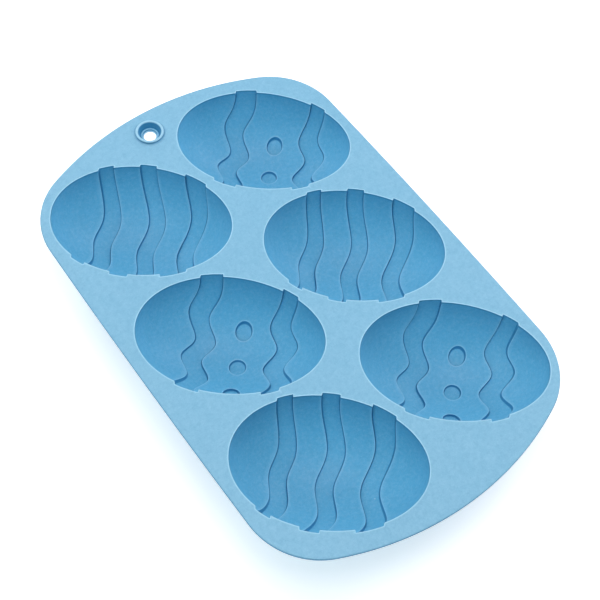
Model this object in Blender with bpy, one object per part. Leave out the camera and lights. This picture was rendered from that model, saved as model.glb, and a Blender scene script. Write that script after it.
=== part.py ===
"""Silicone soap mould: a flat web, six half-egg cups and a hanging eyelet.

The mould lies with the flat base of its cups on z = 0. +Y runs along the tray
towards the end that has the eyelet, +X runs across it.
"""
from math import acos, asin, atan2, cos, hypot, pi, radians, sin, sqrt

import bmesh
import bpy

# ---- driving dimensions, in metres -----------------------------------------
TRAY_LENGTH = 0.290          # along Y, over the bowed ends
TRAY_WIDTH = 0.188           # along X, over the nearly straight sides
END_BOW = 0.0288             # how far an end arc falls from its middle to the tray's side
SIDE_BOW = 0.0020            # how far a side arc falls from its middle to the tray's end
CORNER_RADIUS = 0.0417
WEB_THICKNESS = 0.0017

EGG_LENGTH = 0.0987          # the cavity's mouth
WAVE_EGG_WIDTH = 0.0702      # the wavy eggs are a little plumper than the zigzag ones
ZIGZAG_EGG_WIDTH = 0.0681
EGG_TAPER = -0.040           # one end of the egg is a little blunter than the other
EGG_ANGLE = radians(-41.65)  # long axis of every egg, from +X
CUP_WALL = 0.0029            # round a wavy egg; every cup has the same outside
BASE_FLAT = 0.0005           # how much of the round underside is cut flat
RECESS = 0.0016              # depth of the bands and dots

COLUMN_OFFSET = 0.0434       # cup centres, to each side of the middle
ROW_PITCH = 0.0858
COLUMN_STAGGER = 0.0040      # the +X column stands this far towards +Y, the other towards -Y
GRID_SHIFT = (0.0008, 0.0006)

EYELET_PLACE = (-0.0069, 0.1306)
EYELET_RADIUS = 0.0081
EYELET_DEPTH = 0.0042        # below the web's top face
LIP_HEIGHT = 0.0012          # above the web's top face
HANG_HOLE_RADIUS = 0.0035
COUNTERBORE_RADIUS = 0.0053  # at its floor; the wall tapers outward from there
COUNTERBORE_DEPTH = 0.0024   # below the web's top face
STEP_RADIUS = 0.0043
STEP_DEPTH = 0.0034
STEP_DRAFT = 0.0001
LIP_WIDTH = 0.0013
LIP_BEVEL = 0.0005           # on both sides of the raised lip
FOOT_INSET = 0.0016          # how much narrower the eyelet is at its foot
FOOT_BEVEL = 0.0005

GAP = 0.0003                 # between neighbouring solids

# ---- the bands' pattern, in an egg's own frame -----------------------------
BAND_LEAN = radians(2.8)     # the bands stand nearly square to the long axis
WAVE_BANDS = (-0.0244, -0.0001, 0.0232)
WAVE_HALF_WIDTH = 0.0048
WAVE_HEIGHT = 0.0034         # of the band in the middle
WAVE_GROWTH = 12.0           # share by which a wave is higher per metre towards the narrow end
WAVE_SHIFT = 0.0007          # of the trough, sideways from the egg's axis
WAVE_CREST = 0.0170          # how far each crest of the middle wave lies from the trough
WAVE_CREST_SPREAD = 0.11     # how much further apart the crests get towards the narrow end
WAVE_RUNOUT = 0.0175         # from a crest to the end of the wave's formula
WAVE_END_SWING = -0.0039
WAVE_END_SLOPE = -0.55
ZIGZAG_BANDS = (-0.0210, 0.0237)
ZIGZAG_HALF_WIDTH = 0.0056
ZIGZAG_HEIGHT = 0.0055
ZIGZAG_SHIFT = -0.0012       # of the zigzag, sideways from the egg's axis
ZIGZAG_PITCH = 0.0228
ZIGZAG_STRAIGHTNESS = 0.10   # 1 would be sharp corners, 0 a sine
DOT_RADIUS = 0.0045
DOT_LINE = 0.0042            # the row of dots, between the two zigzags
DOT_SHIFT = -0.0014          # of the middle dot, sideways from the egg's axis
DOT_PITCH = 0.0196
DOT_CLEARANCE = 0.0025       # how far a dot's cutter rises above the wall it cuts
DOT_INNER_RING = 0.55        # of a dot's radius, where its curved floor has a ring of corners

# ---- silicone --------------------------------------------------------------
WEB_COLOUR = (0.27, 0.56, 0.76)
CAVITY_COLOUR = (0.11, 0.34, 0.58)
EYELET_COLOUR = (0.22, 0.52, 0.74)
SILICONE_ROUGHNESS = 0.55

# ---- mesh resolution -------------------------------------------------------
CAP_STEPS = 5                # columns from an egg's end to its first band
WAVE_ROWS = 20
ZIGZAG_ROWS = 26
OUTER_SIDES = 32
OUTER_RINGS = 6
ARC_STEPS = 10
DOT_SIDES = 18
EYELET_SIDES = 32
SOLVER_STEPS = 12            # rounds of fixed-point iteration
SHARP_ANGLE = radians(35)

# ---- worked out from the above ---------------------------------------------
OUTER_HALF_WIDTH = WAVE_EGG_WIDTH / 2 + CUP_WALL
WEB_TOP = OUTER_HALF_WIDTH - BASE_FLAT
CUP_TOP = WEB_TOP - WEB_THICKNESS - GAP
RIM_DROP = WEB_TOP - CUP_TOP


# ---- scene and materials ---------------------------------------------------
def clear_scene():
    for obj in list(bpy.data.objects):
        bpy.data.objects.remove(obj, do_unlink=True)


def silicone(name, colour):
    material = bpy.data.materials.new(name)
    material.use_nodes = True
    shader = material.node_tree.nodes["Principled BSDF"]
    shader.inputs["Base Color"].default_value = (*colour, 1.0)
    shader.inputs["Roughness"].default_value = SILICONE_ROUGHNESS
    shader.inputs["Metallic"].default_value = 0.0
    return material


def add_object(name, bm, material):
    bmesh.ops.recalc_face_normals(bm, faces=bm.faces[:])
    mesh = bpy.data.meshes.new(name)
    bm.to_mesh(mesh)
    bm.free()
    mesh.shade_smooth()
    mesh.set_sharp_from_angle(angle=SHARP_ANGLE)
    obj = bpy.data.objects.new(name, mesh)
    bpy.context.scene.collection.objects.link(obj)
    if material:
        mesh.materials.append(material)
    return obj


# ---- the egg ---------------------------------------------------------------
def girth(u, width, grow=0.0):
    """Radius of an egg's round cross-section at u along its long axis."""
    share = max(-1.0, min(1.0, u / (EGG_LENGTH / 2 + grow)))
    return (width / 2 + grow) * sqrt(1 - share * share) * (1 + EGG_TAPER * share)


def wave(middle, along):
    """Sideways swing of a wavy band: a trough in the middle, a crest on each side."""
    crest = WAVE_CREST + WAVE_CREST_SPREAD * middle
    height = WAVE_HEIGHT * (1 + WAVE_GROWTH * middle)
    reach = abs(along - WAVE_SHIFT)
    if reach < crest:
        t = reach / crest
        return height * t * t * (3 - 2 * t)
    t = (reach - crest) / WAVE_RUNOUT
    start = 1 - 3 * t * t + 2 * t ** 3
    bend = (t ** 3 - t * t) * WAVE_END_SLOPE * WAVE_RUNOUT
    return start * height + (1 - start) * WAVE_END_SWING + bend


def zigzag(_middle, along):
    """Sideways swing of a zigzag band: straight runs with rounded corners."""
    turn = ((along - ZIGZAG_SHIFT) / ZIGZAG_PITCH) % 1.0
    straight = 1 - abs(2 * turn - 1)
    rounded = 0.5 - 0.5 * cos(pi * straight)
    mixed = ZIGZAG_STRAIGHTNESS * straight + (1 - ZIGZAG_STRAIGHTNESS) * rounded
    return ZIGZAG_HEIGHT * mixed


def egg_to_pattern(u, v):
    return (u * cos(BAND_LEAN) - v * sin(BAND_LEAN), u * sin(BAND_LEAN) + v * cos(BAND_LEAN))


def pattern_to_egg(p, q):
    return (p * cos(BAND_LEAN) + q * sin(BAND_LEAN), -p * sin(BAND_LEAN) + q * cos(BAND_LEAN))


def edge_on_girth(middle, side, swing, width, angle):
    """Where a band's edge crosses the line that runs round the egg at this angle."""
    u = middle + side
    for _ in range(SOLVER_STEPS):
        v = girth(u, width) * cos(angle)
        along = egg_to_pattern(u, v)[1]
        u = (middle + side + swing(middle, along) + v * sin(BAND_LEAN)) / cos(BAND_LEAN)
    return u


def eccentric(u):
    return acos(max(-1.0, min(1.0, -2 * u / EGG_LENGTH)))


def end_angle(drop, width):
    """Eccentric angle at which the egg's girth is as small as the drop below its mouth."""
    return asin(min(1.0, drop / (width / 2)))


def wall_columns(pattern, angle, drop):
    """(u, growth) of the columns that cross one line round the egg, end to end."""
    bands, half_width, swing, width, between = pattern
    first = end_angle(drop, width)
    stations = [first]
    for middle in bands:
        for side in (-half_width, half_width):
            stations.append(eccentric(edge_on_girth(middle, side, swing, width, angle)))
    stations.append(pi - first)
    columns = []
    for index in range(len(stations) - 1):
        in_band = index % 2 == 1
        at_end = index in (0, len(stations) - 2)
        steps = CAP_STEPS if at_end else (2 if in_band else between)
        growth = RECESS if in_band else 0.0
        for step in range(steps + 1):
            if (index == 0 and step == 0) or (index == len(stations) - 2 and step == steps):
                continue
            share = stations[index] + (stations[index + 1] - stations[index]) * step / steps
            columns.append((-EGG_LENGTH / 2 * cos(share), growth))
    return columns


def mouth_outline(pattern):
    """The cavity's mouth in the egg's frame, with the notches that the bands leave."""
    width = pattern[3]
    near = wall_columns(pattern, pi, 0.0)
    far = wall_columns(pattern, 0.0, 0.0)
    points = [(-EGG_LENGTH / 2, 0.0)]
    points += [(u, -girth(u, width) - growth) for u, growth in near]
    points.append((EGG_LENGTH / 2, 0.0))
    points += [(u, girth(u, width) + growth) for u, growth in reversed(far)]
    return points


# bands, their half-width and swing, the egg's width, and steps from one band to the next
WAVE_PATTERN = (WAVE_BANDS, WAVE_HALF_WIDTH, wave, WAVE_EGG_WIDTH, 1)
ZIGZAG_PATTERN = (ZIGZAG_BANDS, ZIGZAG_HALF_WIDTH, zigzag, ZIGZAG_EGG_WIDTH, 4)


def cup_places():
    """Name, pattern and centre of each cup, from the eyelet's end."""
    rows = (("eyelet_end", 1), ("middle", 0), ("far_end", -1))
    places = []
    for row_index, (row_name, row) in enumerate(rows):
        for side_name, side in (("left", -1), ("right", 1)):
            wavy = (side < 0) == (row_index % 2 == 0)
            pattern = WAVE_PATTERN if wavy else ZIGZAG_PATTERN
            x = side * COLUMN_OFFSET + GRID_SHIFT[0]
            y = row * ROW_PITCH + side * COLUMN_STAGGER + GRID_SHIFT[1]
            kind = "wave" if wavy else "zigzag"
            places.append((f"{kind}_cup_{row_name}_{side_name}", pattern, (x, y)))
    return places


# ---- cups ------------------------------------------------------------------
def inner_wall(bm, pattern, rows):
    """The cavity's wall: columns follow the bands' edges, rows run end to end."""
    width = pattern[3]
    grid = []
    for row in range(rows + 1):
        level = pi * row / rows
        line = []
        for u, growth in wall_columns(pattern, level, RIM_DROP):
            radius = girth(u, width) + growth
            rim = asin(min(1.0, RIM_DROP / radius))
            angle = rim + (pi - 2 * rim) * row / rows
            line.append(bm.verts.new((u, radius * cos(angle), -radius * sin(angle))))
        grid.append(line)
    for line in (grid[0], grid[-1]):
        for vert in line:
            vert.co.z = -RIM_DROP
    end_u = EGG_LENGTH / 2 * cos(end_angle(RIM_DROP, width))
    blunt = bm.verts.new((-end_u, 0.0, -RIM_DROP))
    narrow = bm.verts.new((end_u, 0.0, -RIM_DROP))
    for a, b in zip(grid, grid[1:]):
        bm.faces.new((blunt, a[0], b[0]))
        bm.faces.new((narrow, b[-1], a[-1]))
        for i in range(len(a) - 1):
            bm.faces.new((a[i], a[i + 1], b[i + 1], b[i]))
    loop = [blunt, *grid[0], narrow, *reversed(grid[-1])]
    return loop


def outer_point(side, depth):
    """A point of the outer skin, in this direction from the middle and this far down."""
    turn = 2 * pi * side / OUTER_SIDES
    half_length = EGG_LENGTH / 2 + CUP_WALL
    reach = 0.5
    for _ in range(SOLVER_STEPS):
        shape = 1 + EGG_TAPER * reach * cos(turn)
        reach = sqrt(max(0.0, 1 - (depth / (OUTER_HALF_WIDTH * shape)) ** 2))
    shape = 1 + EGG_TAPER * reach * cos(turn)
    return (half_length * reach * cos(turn), OUTER_HALF_WIDTH * shape * reach * sin(turn), -depth)


def outer_skin(bm):
    """The smooth outside of a cup, from its flat base up to its rim."""
    low = asin(WEB_TOP / OUTER_HALF_WIDTH)
    high = asin(RIM_DROP / OUTER_HALF_WIDTH)
    rings = []
    for ring in range(OUTER_RINGS + 1):
        depth = OUTER_HALF_WIDTH * sin(low + (high - low) * ring / OUTER_RINGS)
        rings.append([bm.verts.new(outer_point(side, depth)) for side in range(OUTER_SIDES)])
    bm.faces.new(rings[0])
    for a, b in zip(rings, rings[1:]):
        for i in range(OUTER_SIDES):
            j = (i + 1) % OUTER_SIDES
            bm.faces.new((a[i], a[j], b[j], b[i]))
    return rings[-1]


def loop_edges(bm, loop):
    edges = []
    for a, b in zip(loop, loop[1:] + loop[:1]):
        edges.append(bm.edges.get((a, b)) or bm.edges.new((a, b)))
    return edges


def cup_mesh(pattern, rows):
    bm = bmesh.new()
    mouth = inner_wall(bm, pattern, rows)
    rim = outer_skin(bm)
    bmesh.ops.triangle_fill(bm, use_beauty=True, edges=loop_edges(bm, mouth) + loop_edges(bm, rim))
    return bm


def dot_cutter(name, place):
    """Three plugs that sink the dots into a cup's wall, each following the egg's surface."""
    bm = bmesh.new()
    for step in (-1, 0, 1):
        top = []
        low = []
        for ring in (DOT_INNER_RING, 1.0):
            for side in range(DOT_SIDES):
                turn = 2 * pi * side / DOT_SIDES
                p = DOT_LINE + DOT_RADIUS * ring * cos(turn)
                q = DOT_SHIFT + step * DOT_PITCH + DOT_RADIUS * ring * sin(turn)
                u, v = pattern_to_egg(p, q)
                top.append(bm.verts.new((u, v, DOT_CLEARANCE - surface_depth(u, v, 0.0))))
                low.append(bm.verts.new((u, v, -surface_depth(u, v, RECESS))))
        for verts in (top, low):
            inner = verts[:DOT_SIDES]
            outer = verts[DOT_SIDES:]
            bm.faces.new(inner)
            for i in range(DOT_SIDES):
                j = (i + 1) % DOT_SIDES
                bm.faces.new((inner[i], outer[i], outer[j], inner[j]))
        for i in range(DOT_SIDES, 2 * DOT_SIDES):
            j = i + 1 if i + 1 < 2 * DOT_SIDES else DOT_SIDES
            bm.faces.new((top[i], low[i], low[j], top[j]))
    cutter = add_object(name, bm, None)
    cutter.location = place
    cutter.rotation_euler.z = EGG_ANGLE
    cutter.hide_render = True
    cutter.display_type = "WIRE"
    return cutter


def surface_depth(u, v, grow):
    """Depth below the mouth of a zigzag egg grown by this much."""
    return sqrt(max(0.0, girth(u, ZIGZAG_EGG_WIDTH, grow) ** 2 - v * v))


def add_cup(name, pattern, centre, material):
    zigzagged = pattern is ZIGZAG_PATTERN
    bm = cup_mesh(pattern, ZIGZAG_ROWS if zigzagged else WAVE_ROWS)
    cup = add_object(name, bm, material)
    cup.location = (centre[0], centre[1], WEB_TOP)
    cup.rotation_euler.z = EGG_ANGLE
    if zigzagged:
        cut = cup.modifiers.new("dots", "BOOLEAN")
        cut.operation = "DIFFERENCE"
        cut.solver = "EXACT"
        cut.object = dot_cutter(f"{name}_dot_cutter", cup.location)


# ---- web -------------------------------------------------------------------
def arc_between(centre, start, end):
    """Points of an arc from start to end, without its last point."""
    radius = hypot(start[0] - centre[0], start[1] - centre[1])
    first = atan2(start[1] - centre[1], start[0] - centre[0])
    last = atan2(end[1] - centre[1], end[0] - centre[0])
    points = []
    for step in range(ARC_STEPS):
        turn = first + (last - first) * step / ARC_STEPS
        points.append((centre[0] + radius * cos(turn), centre[1] + radius * sin(turn)))
    return points


def touch_point(centre, radius, through):
    length = hypot(through[0] - centre[0], through[1] - centre[1])
    return (centre[0] + (through[0] - centre[0]) * radius / length,
            centre[1] + (through[1] - centre[1]) * radius / length)


def tray_outline():
    """Bowed ends and sides, joined by corner arcs tangent to both."""
    half_width = TRAY_WIDTH / 2
    half_length = TRAY_LENGTH / 2
    end_radius = (half_width ** 2 + END_BOW ** 2) / (2 * END_BOW)
    side_radius = (half_length ** 2 + SIDE_BOW ** 2) / (2 * SIDE_BOW)
    end_centre = (0.0, half_length - end_radius)
    side_centre = (half_width - side_radius, 0.0)
    # the corner's centre lies at a known distance from both of those centres
    to_end = end_radius - CORNER_RADIUS
    to_side = side_radius - CORNER_RADIUS
    apart = hypot(side_centre[0], end_centre[1])
    along = (to_end ** 2 - to_side ** 2 + apart ** 2) / (2 * apart)
    across = sqrt(to_end ** 2 - along ** 2)
    unit = (side_centre[0] / apart, -end_centre[1] / apart)
    choices = [(unit[0] * along - s * unit[1] * across,
                end_centre[1] + unit[1] * along + s * unit[0] * across) for s in (-1, 1)]
    corner = max(choices, key=sum)
    side_meets = touch_point(side_centre, side_radius, corner)
    end_meets = touch_point(end_centre, end_radius, corner)
    quarter = arc_between(side_centre, (half_width, 0.0), side_meets)
    quarter += arc_between(corner, side_meets, end_meets)
    quarter += arc_between(end_centre, end_meets, (0.0, half_length))
    upper = quarter + [(0.0, half_length)] + [(-x, y) for x, y in reversed(quarter)]
    return upper + [(x, -y) for x, y in reversed(upper[1:-1])]


def placed_mouth(pattern, centre):
    c, s = cos(EGG_ANGLE), sin(EGG_ANGLE)
    return [(centre[0] + u * c - v * s, centre[1] + u * s + v * c) for u, v in mouth_outline(pattern)]


def eyelet_opening():
    radius = EYELET_RADIUS + GAP
    turns = [2 * pi * i / EYELET_SIDES for i in range(EYELET_SIDES)]
    return [(EYELET_PLACE[0] + radius * cos(t), EYELET_PLACE[1] + radius * sin(t)) for t in turns]


def add_web(material):
    """The flat sheet: its outline and openings are filled at the top and extruded down."""
    bm = bmesh.new()
    outlines = [tray_outline(), eyelet_opening()]
    outlines += [placed_mouth(pattern, centre) for _, pattern, centre in cup_places()]
    edges = []
    for outline in outlines:
        loop = [bm.verts.new((x, y, WEB_TOP)) for x, y in outline]
        edges += loop_edges(bm, loop)
    filled = bmesh.ops.triangle_fill(bm, use_beauty=True, edges=edges)
    faces = [item for item in filled["geom"] if isinstance(item, bmesh.types.BMFace)]
    extruded = bmesh.ops.extrude_face_region(bm, geom=faces, use_keep_orig=True)
    lowered = [item for item in extruded["geom"] if isinstance(item, bmesh.types.BMVert)]
    bmesh.ops.translate(bm, verts=lowered, vec=(0.0, 0.0, -WEB_THICKNESS))
    add_object("web", bm, material)


# ---- eyelet ----------------------------------------------------------------
def add_eyelet(material):
    """A turned ring: raised lip, tapered counterbore, a step and the through hole."""
    outer = EYELET_RADIUS
    foot = outer - FOOT_INSET
    inner = outer - LIP_WIDTH
    bevel_foot = LIP_HEIGHT - LIP_BEVEL
    profile = [
        (HANG_HOLE_RADIUS, -EYELET_DEPTH), (foot, -EYELET_DEPTH),
        (foot + FOOT_BEVEL, FOOT_BEVEL - EYELET_DEPTH), (outer, -WEB_THICKNESS),
        (outer, bevel_foot), (outer - LIP_BEVEL, LIP_HEIGHT),
        (inner + LIP_BEVEL, LIP_HEIGHT), (inner, bevel_foot),
        (COUNTERBORE_RADIUS, -COUNTERBORE_DEPTH), (STEP_RADIUS, -COUNTERBORE_DEPTH),
        (STEP_RADIUS - STEP_DRAFT, -STEP_DEPTH), (HANG_HOLE_RADIUS, -STEP_DEPTH),
    ]
    bm = bmesh.new()
    rings = []
    for side in range(EYELET_SIDES):
        turn = 2 * pi * side / EYELET_SIDES
        rings.append([bm.verts.new((r * cos(turn), r * sin(turn), z)) for r, z in profile])
    for side, ring in enumerate(rings):
        after = rings[(side + 1) % EYELET_SIDES]
        for i in range(len(profile)):
            j = (i + 1) % len(profile)
            bm.faces.new((ring[i], ring[j], after[j], after[i]))
    eyelet = add_object("hanging_eyelet", bm, material)
    eyelet.location = (EYELET_PLACE[0], EYELET_PLACE[1], WEB_TOP)


def main():
    clear_scene()
    add_web(silicone("web_silicone", WEB_COLOUR))
    add_eyelet(silicone("eyelet_silicone", EYELET_COLOUR))
    for name, pattern, centre in cup_places():
        add_cup(name, pattern, centre, silicone(f"{name}_silicone", CAVITY_COLOUR))


main()
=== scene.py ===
from math import asin, atan2, cos, hypot, pi, radians, sin, sqrt, tan

import bpy
import numpy as np
from mathutils import Matrix, Vector
from mathutils.geometry import delaunay_2d_cdt


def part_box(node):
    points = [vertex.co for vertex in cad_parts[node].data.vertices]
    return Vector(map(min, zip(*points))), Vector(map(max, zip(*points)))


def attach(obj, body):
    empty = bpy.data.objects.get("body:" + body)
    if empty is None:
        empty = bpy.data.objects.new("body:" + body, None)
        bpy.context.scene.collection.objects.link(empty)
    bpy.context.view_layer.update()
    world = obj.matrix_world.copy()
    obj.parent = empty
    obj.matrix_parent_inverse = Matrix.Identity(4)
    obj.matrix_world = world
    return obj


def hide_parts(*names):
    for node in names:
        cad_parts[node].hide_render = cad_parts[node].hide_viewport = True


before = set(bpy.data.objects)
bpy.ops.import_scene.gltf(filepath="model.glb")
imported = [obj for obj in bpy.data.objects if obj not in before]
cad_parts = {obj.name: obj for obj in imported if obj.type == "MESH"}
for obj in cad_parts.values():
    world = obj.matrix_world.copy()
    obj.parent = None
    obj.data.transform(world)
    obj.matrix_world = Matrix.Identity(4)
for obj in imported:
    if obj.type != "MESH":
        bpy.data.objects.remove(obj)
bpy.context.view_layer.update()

# ---- sizes that the frame gives, in metres ----
WEB_LOW, WEB_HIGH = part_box("web")
WEB_TOP = WEB_HIGH.z
WEB_THICKNESS = WEB_HIGH.z - WEB_LOW.z
TRAY_WIDTH = WEB_HIGH.x - WEB_LOW.x
TRAY_LENGTH = WEB_HIGH.y - WEB_LOW.y
EYELET_LOW, EYELET_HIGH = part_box("hanging_eyelet")
EYELET_PLACE = (EYELET_LOW + EYELET_HIGH) / 2
EYELET_RADIUS = (EYELET_HIGH.x - EYELET_LOW.x) / 2
LIP_HEIGHT = EYELET_HIGH.z - WEB_TOP
EYELET_DEPTH = WEB_TOP - EYELET_LOW.z

# ---- the design's own sizes, as the CAD has them ----
END_BOW = 0.0288
SIDE_BOW = 0.0020
CORNER_RADIUS = 0.0417
EGG_LENGTH = 0.0987
WAVE_EGG_WIDTH = 0.0702
ZIGZAG_EGG_WIDTH = 0.0681
EGG_TAPER = -0.040
EGG_ANGLE = radians(-41.65)
CUP_WALL = 0.0029
RECESS = 0.0016
BAND_LEAN = radians(2.8)
WAVE_BANDS = (-0.0244, -0.0001, 0.0232)
WAVE_HALF_WIDTH = 0.0048
WAVE_HEIGHT = 0.0034
WAVE_GROWTH = 12.0
WAVE_SHIFT = 0.0007
WAVE_CREST = 0.0170
WAVE_CREST_SPREAD = 0.11
WAVE_RUNOUT = 0.0175
WAVE_END_SWING = -0.0039
WAVE_END_SLOPE = -0.55
ZIGZAG_BANDS = (-0.0210, 0.0237)
ZIGZAG_HALF_WIDTH = 0.0056
ZIGZAG_HEIGHT = 0.0055
ZIGZAG_SHIFT = -0.0012
ZIGZAG_PITCH = 0.0228
ZIGZAG_STRAIGHTNESS = 0.10
DOT_RADIUS = 0.0045
DOT_LINE = 0.0042
DOT_SHIFT = -0.0014
DOT_PITCH = 0.0196
HANG_HOLE_RADIUS = 0.0035
COUNTERBORE_RADIUS = 0.0053
COUNTERBORE_DEPTH = 0.0024
STEP_RADIUS = 0.0043
STEP_DEPTH = 0.0034
STEP_DRAFT = 0.0001
LIP_WIDTH = 0.0013
FOOT_INSET = 0.0016
OUTER_HALF_WIDTH = WAVE_EGG_WIDTH / 2 + CUP_WALL

# ---- soft edges ----
# A mark below zero paints a highlight there, making the silicone paler, and one above zero
# paints shade there, making it darker.
CREST_RADIUS = 0.00025       # where the wall of a recess rolls into the cavity's wall
FOOT_RADIUS = 0.00020        # where it meets the floor of the recess
STEP_SLOPE = radians(82)
# A painted highlight on the crest of each recess, then painted shade down its wall and in its foot
CREST_MARKS = [-0.6, 0.0, 0.6, 0.9]
FOOT_MARKS = [0.85, 0.9, 0.9, 0.85]
WALL_MARK = -0.15            # a faint painted highlight on the plain wall beside a recess
BEAD_FADE = 0.00050          # how far the painted highlight round a mouth fades into the web
STEP_FADE = 0.00030          # how far a mark along a recess's edge fades into the plain wall
RIM_PROFILE = (              # (distance from the mouth, height) over the bead round each mouth
    (0.00042, 0.00000), (0.00036, 0.00003), (0.00029, 0.00008), (0.00022, 0.00010),
    (0.00015, 0.00008), (0.00009, 0.00002), (0.00004, -0.00009), (0.00001, -0.00020),
)
# Painted highlight on the bead, then painted shade just inside the mouth; the second list is how
# far the cavities' painted shade colour reaches
RIM_MARKS = [-0.5, -0.8, -1.0, -1.0, -0.9, -0.5, 0.0, 0.5]
RIM_PAINTED_SHADE_SHARES = [0.0, 0.0, 0.0, 0.0, 0.0, 0.5, 0.9, 1.0]
BELOW_RIM = (                # (depth, mark) from where the bead has become the cavity's wall; the marks paint shade there
    (0.00035, 0.75), (0.0008, 0.6), (0.0013, 0.15),
)
EDGE_ROLL = 0.0006           # rounding of the tray's outer edge
# The marks paint shade down the tray's rolled side
EDGE_MARKS = [0.0, 0.05, 0.5, 0.8, 1.0, 1.0, 1.0, 0.6, 0.3, 0.0]   # from its top to its bottom
FOOT_FILLET = 0.0006         # where a cup's outside meets the web's underside
SAG = 0.00015                # how far the soft web waves up and down

# ---- resolution ----
ROWS = 132
CAP_COLUMNS = 18
COLUMN_SPACING = 0.0013
ARC_POINTS = 4
SKIN_SIDES = 128
SKIN_RINGS = 22
GRID_SPACING = 0.0055
EYELET_SIDES = 96
DOT_SIDES = 72
OUTLINE_SPACING = 0.0018


# ---- small helpers ----
TINY = 1e-12                 # keeps divisions away from zero
SAME = 1e-9                  # lengths below this count as nothing
UP, DOWN = (0.0, 0.0, 1.0), (0.0, 0.0, -1.0)
SOLVER_ROUNDS = 24           # enough for the fixed-point loops to settle


def new_object(name, data):
    """Makes an object and links it to the scene."""
    thing = bpy.data.objects.new(name, data)
    bpy.context.scene.collection.objects.link(thing)
    return thing


def unit(vectors):
    """Vectors scaled to length 1 along the last axis."""
    return vectors / np.maximum(np.linalg.norm(vectors, axis=-1, keepdims=True), TINY)


def sag_at(x, y):
    """How far the soft web hangs below its nominal plane: two slow waves, never above it."""
    across = np.sin(2 * pi * (x / 0.21 + 0.3 * y / 0.29) + 0.6)
    return -SAG * (1 + across * np.cos(2 * pi * y / 0.24 + 0.4))


def soften(points):
    """Lets the moulding wave a little: not at all at the bases, fully at the web."""
    out = np.array(points, dtype=float)
    out[..., 2] += sag_at(out[..., 0], out[..., 1]) * out[..., 2] / WEB_TOP
    return out


def grid_normals(points, closed=False):
    """Normals of a grid of points, from its own slopes; closed grids wrap along axis 1."""
    if closed:
        wide = np.concatenate([points[:, -1:], points, points[:, :1]], axis=1)
        along = wide[:, 2:] - wide[:, :-2]
    else:
        along = np.gradient(points, axis=1)
    return unit(np.cross(np.gradient(points, axis=0), along))


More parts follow.
